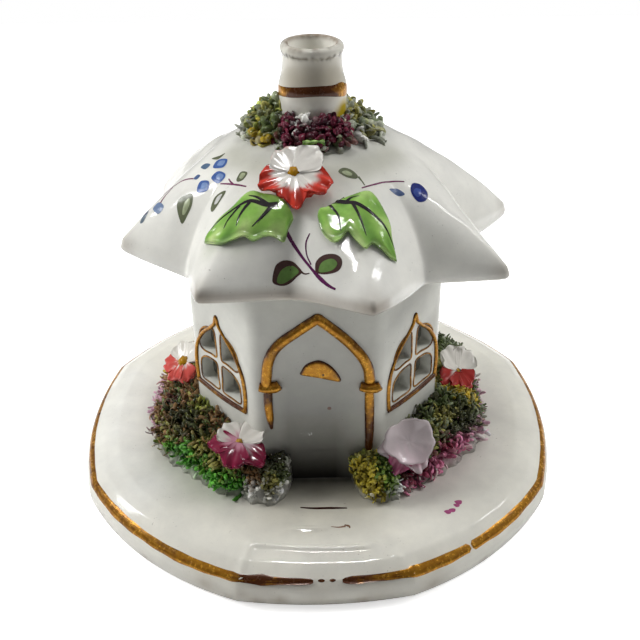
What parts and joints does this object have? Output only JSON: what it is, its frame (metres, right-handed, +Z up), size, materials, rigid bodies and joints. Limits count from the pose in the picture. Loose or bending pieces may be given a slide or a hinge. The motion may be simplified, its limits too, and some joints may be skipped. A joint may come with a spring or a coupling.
{
  "type": "pastille burner",
  "caption": "Porcelain cottage pastille burner: pierced eight-sided house on a plate, with a lift-off star-shaped roof and chimney that lets the scented smoke out.",
  "frame": {"origin": "middle of the foot ring's face, on the axis of the plate", "axes": "+Z up along the chimney, -Y out of the door, +X to the right as seen from in front of the door"},
  "size_m": [0.1114, 0.1114, 0.0974],
  "materials": {
    "white_glaze": "gloss white porcelain",
    "gilding": "worn gilding on porcelain",
    "hedge_moss": "gloss dark green shredded clay",
    "tuft_moss": "gloss olive green shredded clay",
    "purple_moss": "gloss maroon shredded clay",
    "magenta_petal": "gloss magenta and white petals",
    "pale_petal": "gloss pale pink petals",
    "red_petal": "gloss red and white petals",
    "flower_heart": "gloss ochre",
    "leaf_green": "gloss bright green",
    "charcoal_paste": "matt dark brown"
  },
  "bodies": {
    "house": {"base_plate": "white_glaze", "wall_shell": "white_glaze", "door_arch": "gilding", "fanlight": "gilding", "hedge_left": "hedge_moss", "hedge_right": "hedge_moss", "hedge_back": "hedge_moss", "tuft_left": "tuft_moss", "tuft_right": "tuft_moss", "flower_left": "magenta_petal", "flower_left_eye": "flower_heart", "flower_right": "pale_petal", "flower_right_eye": "flower_heart", "flower_side_left": "red_petal", "flower_side_left_eye": "flower_heart", "flower_side_right": "red_petal", "flower_side_right_eye": "flower_heart"},
    "roof": {"roof_shell": "white_glaze", "roof_collar": "white_glaze", "chimney": "white_glaze", "moss_left": "tuft_moss", "moss_front": "purple_moss", "moss_right": "tuft_moss", "moss_back": "tuft_moss", "roof_flower": "red_petal", "roof_flower_eye": "flower_heart", "leaf_left": "leaf_green", "leaf_right": "leaf_green", "leaf_small": "leaf_green"},
    "pastille": {"pastille": "charcoal_paste"}
  },
  "joints": [
    {"name": "roof_lift", "type": "slide", "parent": "house", "child": "roof", "axis": [0, 0, 1], "range_m": [0, 0.06]},
    {"name": "pastille_lift", "type": "slide", "parent": "house", "child": "pastille", "axis": [0, 0, 1], "range_m": [0, 0.049]}
  ]
}
